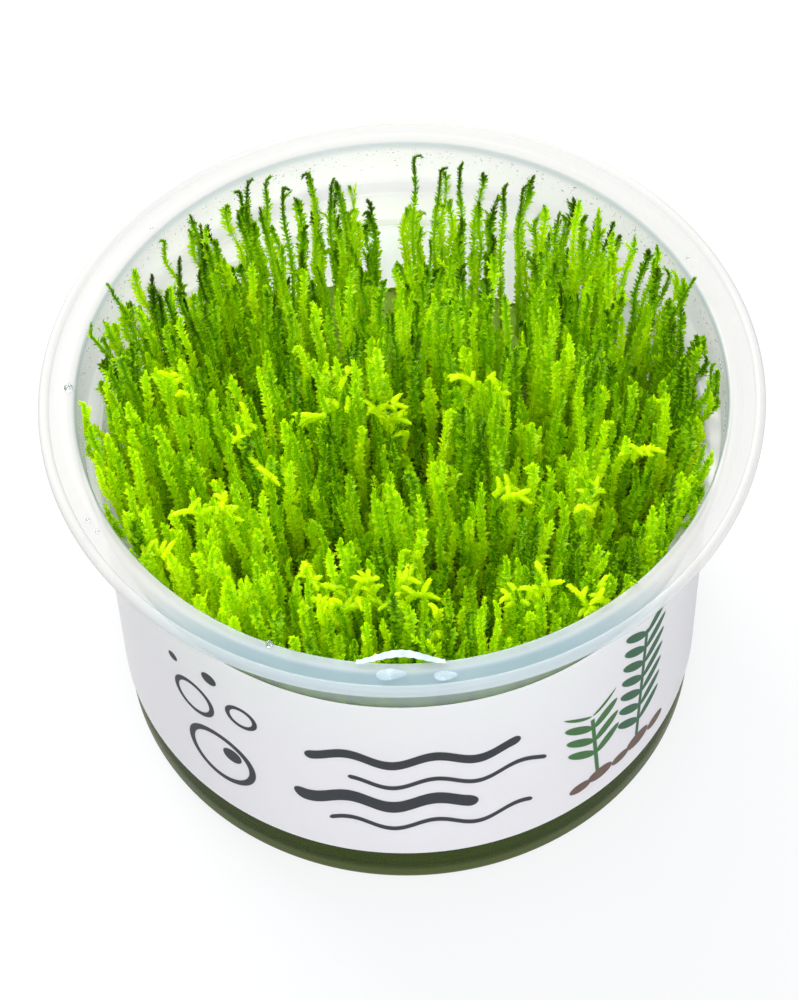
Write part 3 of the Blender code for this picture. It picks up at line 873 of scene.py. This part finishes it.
for spot_x, spot_y, number in fresh_spots:
    for _ in range(number):
        foot = np.array([spot_x, spot_y, 0]) * MM + chance.normal(0, 1.0, 3) * (MM, MM, 0)
        foot[2] = chance.uniform(*fresh_heights) - sunk(foot[0], foot[1])
        antler = [inside_cup(curled_line(
            foot, chance.uniform(4.5, 7.5) * MM, chance.uniform(-0.4, 0.5),
            chance.uniform(0, math.tau), chance.uniform(0.8, 2.2), main_points,
        ), fresh_clearance)]
        for fork in forks_at:
            antler.append(inside_cup(curled_line(
                antler[0][fork], chance.uniform(1.2, 2.4) * MM, chance.uniform(0.3, 0.8),
                chance.uniform(0, math.tau), chance.uniform(0.3, 1.4), fork_points,
            ), fresh_clearance))
        for line in antler:
            growth_and_light = np.linspace(*fresh_ages, len(line))
            regions[region_of(foot[0], foot[1])] += [
                stem_mesh(line, fresh_stem_radius, growth_and_light),
                leaves_mesh(line, fresh_leaf_length, growth_and_light, 0.2 * MM, fresh_leaf_spread,
                            fresh_leaf_spacing),
            ]

# Moss leaf: one cell thick, so light comes through it, with a dull damp surface. Young leaves are
# a bright yellow green, and older ones a darker and plainer green. The same ramp turns the
# painted light and shade in that value into lighter and darker greens.
leaf, tree = new_material("moss_leaf_tissue")
growth_and_light = add(tree, "Attribute", {"attribute_name": "growth_and_light"}).outputs["Fac"]
leaf_colours = [
    (0.0, "#4E7400"), (0.2, "#74AE00"), (0.45, "#A9DB00"), (0.7, "#CCF100"), (1.0, "#E8FF08"),
]
green = add(tree, "ValToRGB", {"stops": leaf_colours}, Fac=growth_and_light)
surface = add(tree, "BsdfPrincipled", Base_Color=green, Roughness=0.45, Specular_IOR_Level=0.2)
through = add(tree, "BsdfTranslucent", Color=green)
add(tree, "OutputMaterial", Surface=add(tree, "MixShader", _0=0.55, _1=surface, _2=through))

for region, parts in regions.items():
    piece = joined("moss_" + region, parts)
    piece.data.materials.append(leaf)
    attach(piece, "root")
    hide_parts("moss")

# Mat: the old shoots lower down have grown into each other and gone over to olive and brown. It
# is one lumpy body, with its streaks running up and down as the shoots in it do.
mat_rings, mat_sides = 26, 96
mat_lump, mat_lump_width = 1.8 * MM, 3.2 * MM
mat_sink = 0.3  # of the hollows' depth
mat_clearance = 0.3 * MM
mat_bottom = moss_bottom + 0.1 * MM
mat_edge = contents_radius(mat_top) - mat_clearance
mat = lathe("moss_mat", [
    (axis_hole, mat_bottom),
    (contents_radius(moss_bottom) - mat_clearance, mat_bottom),
    (mat_edge, mat_top - 2 * MM),
    *[(mat_edge + (axis_hole - mat_edge) * i / mat_rings, mat_top) for i in range(mat_rings + 1)],
], mat_sides, ends_on_axis=True)
for point in mat.data.vertices:
    if point.co.z > mat_top - 1 * MM:
        lump = noise.noise(Vector((point.co.x, point.co.y, 0)) / mat_lump_width)
        point.co.z += mat_lump * lump - mat_sink * sunk(point.co.x, point.co.y)

# Old shoots: dull stems and dead leaves, dark olive between them. Towards the back the mat
# is painted a pale yellow green, for the daylight that comes in through the label.
matted, tree = new_material("matted_old_shoots")
place = add(tree, "TexCoord").outputs["Object"]
upright = add(tree, "Mapping", Vector=place, Scale=(1.0, 1.0, 0.25))
fibres = add(tree, "TexNoise", Vector=upright, Scale=900.0, Detail=3.0, Roughness=0.7)
olive = add(tree, "ValToRGB", {"stops": [(0.3, "#3A3C06"), (0.7, "#8DA516")]}, Fac=fibres)
# Painted light: a pale yellow green at the back, for the light through the label.
back_painted_light = add(
    tree, "MapRange", smooth, Value=add(tree, "SeparateXYZ", Vector=place).outputs["Y"],
    From_Min=12 * MM, From_Max=30 * MM, To_Max=0.85,
)
old_green = add(tree, "Mix", of_colours, _0=back_painted_light, _6=olive, _7=linear("#D3EE6A")).outputs[2]
relief = add(tree, "Bump", Strength=0.8, Distance=0.4 * MM, Height=fibres)
add(tree, "OutputMaterial", Surface=add(
    tree, "BsdfPrincipled", Base_Color=old_green, Roughness=0.7, Normal=relief,
))
mat.data.materials.append(matted)
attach(mat, "root")
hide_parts("moss")

# Remains of the lidding film: a thin peelable laminate that was heat sealed to the flange. A
# ribbon of it has lifted from the inner edge at the front, and two torn flakes are still down.
strip_middle = math.radians(-1.5)  # from the front
strip_half_angle = math.radians(7.4)
strip_stations = 49
strip_width = 1.0 * MM
strip_bow = 1.3 * MM  # how far its middle stands in from the flange
strip_lift = 0.5 * MM
strip_twist = 0.12 * MM
strip_fringe = 0.05 * MM
strip_thickness = 0.16 * MM
strip_foot = land_top + 0.3 * MM + strip_thickness


def rim_place(angle, radius, height):
    """A place on the rim, at an angle from the front."""
    return Vector((radius * math.sin(angle), -radius * math.cos(angle), height))


bpy.ops.object.select_all(action="DESELECT")
bpy.ops.mesh.primitive_grid_add(x_subdivisions=strip_stations - 1, y_subdivisions=4, size=2)
strip = bpy.context.object
strip.name = strip.data.name = "film_ribbon"
for point in strip.data.vertices:
    along, side = point.co.x, point.co.y
    bow = math.cos(along * math.pi / 2) ** 1.4
    narrow = 0.55 + 0.45 * math.cos(along * math.pi / 2) ** 0.5
    inner = land_inner_radius + 0.6 * MM - strip_bow * bow
    fringe = strip_fringe * math.sin(along * 31 + side * 2)
    radius = inner + side * strip_width / 2 * narrow + fringe
    lift = strip_lift * bow - strip_twist * side * bow
    point.co = rim_place(strip_middle + along * strip_half_angle, radius, strip_foot + lift)
thicken = strip.modifiers.new("film", "SOLIDIFY")
thicken.thickness = strip_thickness
thicken.offset = 0
round_edge = strip.modifiers.new("soft_edge", "BEVEL")
round_edge.width = 0.05 * MM
round_edge.segments = 2
for modifier in ("film", "soft_edge"):
    bpy.ops.object.modifier_apply(modifier=modifier)
bpy.ops.object.shade_smooth_by_angle(angle=math.radians(50))

flake_thickness = 0.2 * MM
flake_foot = land_top + 0.3 * MM
flake_taper, flake_wave = 0.42, 0.03  # of its width
flake_edge, flake_crown = 0.12 * MM, 0.04 * MM  # its sloping edge's width and height
flake_shapes = {  # node, degrees from the front, radius, length, width, slant to one side
    "film_flake_left": ("seal_film_flake_left", -3.0, 47.1 * MM, 4.0 * MM, 2.1 * MM, 0.30),
    "film_flake_right": ("seal_film_flake_right", 5.6, 47.7 * MM, 3.1 * MM, 1.8 * MM, -0.20),
}
flakes = []
for name, (node, degrees, flake_radius, length, width, slant) in flake_shapes.items():
    bpy.ops.object.select_all(action="DESELECT")
    bpy.ops.mesh.primitive_circle_add(vertices=40, radius=1, fill_type="NGON")
    flake = bpy.context.object
    flake.name = flake.data.name = name
    for point in flake.data.vertices:
        turn = math.atan2(point.co.y, point.co.x)
        drop = 1 - flake_taper * (1 + math.cos(turn)) / 2 + flake_wave * math.sin(5 * turn)
        x, y = length / 2 * math.cos(turn), width / 2 * math.sin(turn) * drop
        point.co = (x, y + slant * x * 0.25, 0)
    bpy.ops.object.mode_set(mode="EDIT")
    bpy.ops.mesh.select_all(action="SELECT")
    bpy.ops.mesh.extrude_region_move(TRANSFORM_OT_translate={"value": (0, 0, flake_thickness)})
    bpy.ops.mesh.inset(thickness=flake_edge)
    bpy.ops.transform.translate(value=(0, 0, flake_crown))
    bpy.ops.mesh.select_all(action="SELECT")
    bpy.ops.mesh.normals_make_consistent(inside=False)
    bpy.ops.object.mode_set(mode="OBJECT")
    flake.data.transform(
        Matrix.Translation(rim_place(math.radians(degrees), flake_radius, flake_foot))
        @ Matrix.Rotation(math.radians(degrees), 4, "Z")
    )
    bpy.ops.object.shade_smooth_by_angle(angle=math.radians(60))
    flakes.append((flake, node))

# Film laminate: a satin white skin on a clear sealing layer, a little see-through where it tore.
laminate, tree = new_material("peelable_film_laminate")
place = add(tree, "TexCoord").outputs["Object"]
crease = add(tree, "TexNoise", Vector=place, Scale=700.0, Detail=3.0)
relief = add(tree, "Bump", Strength=0.3, Distance=0.1 * MM, Height=crease)
body = add(tree, "MapRange", Value=crease, From_Min=0.3, From_Max=0.7, To_Min=0.45, To_Max=0.75)
skin = add(tree, "BsdfPrincipled", Base_Color=linear("#D3DEE5"), Roughness=0.3, Normal=relief)
clear = add(tree, "BsdfTransparent", Color=linear("#F4F8FA"))
add(tree, "OutputMaterial", Surface=add(tree, "MixShader", _0=body, _1=clear, _2=skin))

# Sealing layer: clear and glossy. The flakes are what is left of it alone, so more shows through.
sealing, tree = new_material("clear_sealing_layer")
place = add(tree, "TexCoord").outputs["Object"]
cloud = add(tree, "TexNoise", Vector=place, Scale=600.0, Detail=2.0)
body = add(tree, "MapRange", Value=cloud, From_Min=0.3, From_Max=0.7, To_Min=0.10, To_Max=0.42)
skin = add(tree, "BsdfPrincipled", Base_Color=linear("#CBD9E2"), Roughness=0.25)
clear = add(tree, "BsdfTransparent", Color=linear("#F4F8FA"))
add(tree, "OutputMaterial", Surface=add(tree, "MixShader", _0=body, _1=clear, _2=skin))

for piece, node in [(strip, "seal_film_strip"), *flakes]:
    piece.data.materials.append(laminate if piece is strip else sealing)
    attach(piece, "root")
    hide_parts(node)

# Condensation: fine beads of water that stand on the inside of the collar, above the moss. Each
# is a flattened drop whose flat side is on the wall.
bpy.ops.object.select_all(action="DESELECT")
bpy.ops.mesh.primitive_uv_sphere_add(segments=6, ring_count=4, radius=1)
bead = bpy.context.object
bpy.ops.object.mode_set(mode="EDIT")
bpy.ops.mesh.select_all(action="SELECT")
bpy.ops.mesh.bisect(plane_co=(0, 0, -0.1), plane_no=(0, 0, 1), clear_inner=True, use_fill=True)
bpy.ops.mesh.select_all(action="SELECT")
bpy.ops.mesh.normals_make_consistent(inside=False)
bpy.ops.object.mode_set(mode="OBJECT")
bead_points = np.array([point.co for point in bead.data.vertices])
bead_faces = [list(face.vertices) for face in bead.data.polygons]
bpy.data.objects.remove(bead)

bead_count = 1700
bead_sizes = (0.05 * MM, 0.17 * MM)
bead_height = 0.45  # of its size
bead_lift = 0.12  # of its size, so that its flat side is just clear of the wall
bead_heights = (shoulder_high + 0.9 * MM, flange_underside - 0.4 * MM)
drop_chance = np.random.default_rng(9)
points, faces = [], []


def add_bead(foot, out_of_wall, size, stretch):
    """A bead that stands on a surface at foot, and is flattened towards it."""
    turned = out_of_wall.to_track_quat("Z", "Y").to_matrix()
    shape = bead_points * (size, size * stretch, size * bead_height)
    faces.extend([[len(points) + k for k in face] for face in bead_faces])
    lift = out_of_wall * size * bead_lift
    points.extend([tuple(turned @ Vector(p) + foot + lift) for p in shape])


for i in range(bead_count):
    angle = drop_chance.uniform(0, math.tau)
    height = drop_chance.triangular(bead_heights[0], bead_heights[1], bead_heights[1])
    size = bead_sizes[0] + (bead_sizes[1] - bead_sizes[0]) * drop_chance.random() ** 4
    slope = (height - shoulder_high) / (flange_underside - shoulder_high)
    radius = collar_radius - wall + (collar_top_radius - collar_radius) * slope
    add_bead(
        rim_place(angle, radius, height), -rim_place(angle, 1, 0), size,
        drop_chance.uniform(0.9, 1.3),
    )
rim_drops = [  # on the flange: degrees from the front, radius and size in mm
    (-92.6, 45.9, 0.7), (-64.4, 47.3, 0.35), (-61.7, 47.0, 0.30), (-60.9, 49.2, 0.30),
    (-24.0, 45.3, 0.55), (118.0, 46.2, 0.28), (-131.0, 46.0, 0.25),
]
for degrees, radius, size in rim_drops:
    drop_place = rim_place(math.radians(degrees), radius * MM, land_top)
    add_bead(drop_place, Vector((0, 0, 1)), size * MM, 1.1)
mesh = bpy.data.meshes.new("condensation")
mesh.from_pydata(points, [], faces)
drops = bpy.data.objects.new("condensation", mesh)
bpy.context.collection.objects.link(drops)
mesh.shade_smooth()

# Water: clear and mirror smooth.
water, tree = new_material("condensed_water")
add(tree, "OutputMaterial", Surface=add(
    tree, "BsdfPrincipled", Base_Color=linear("#E8EEF2"), Roughness=0.04, IOR=1.33,
    Transmission_Weight=1.0,
))
drops.data.materials.append(water)
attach(drops, "root")
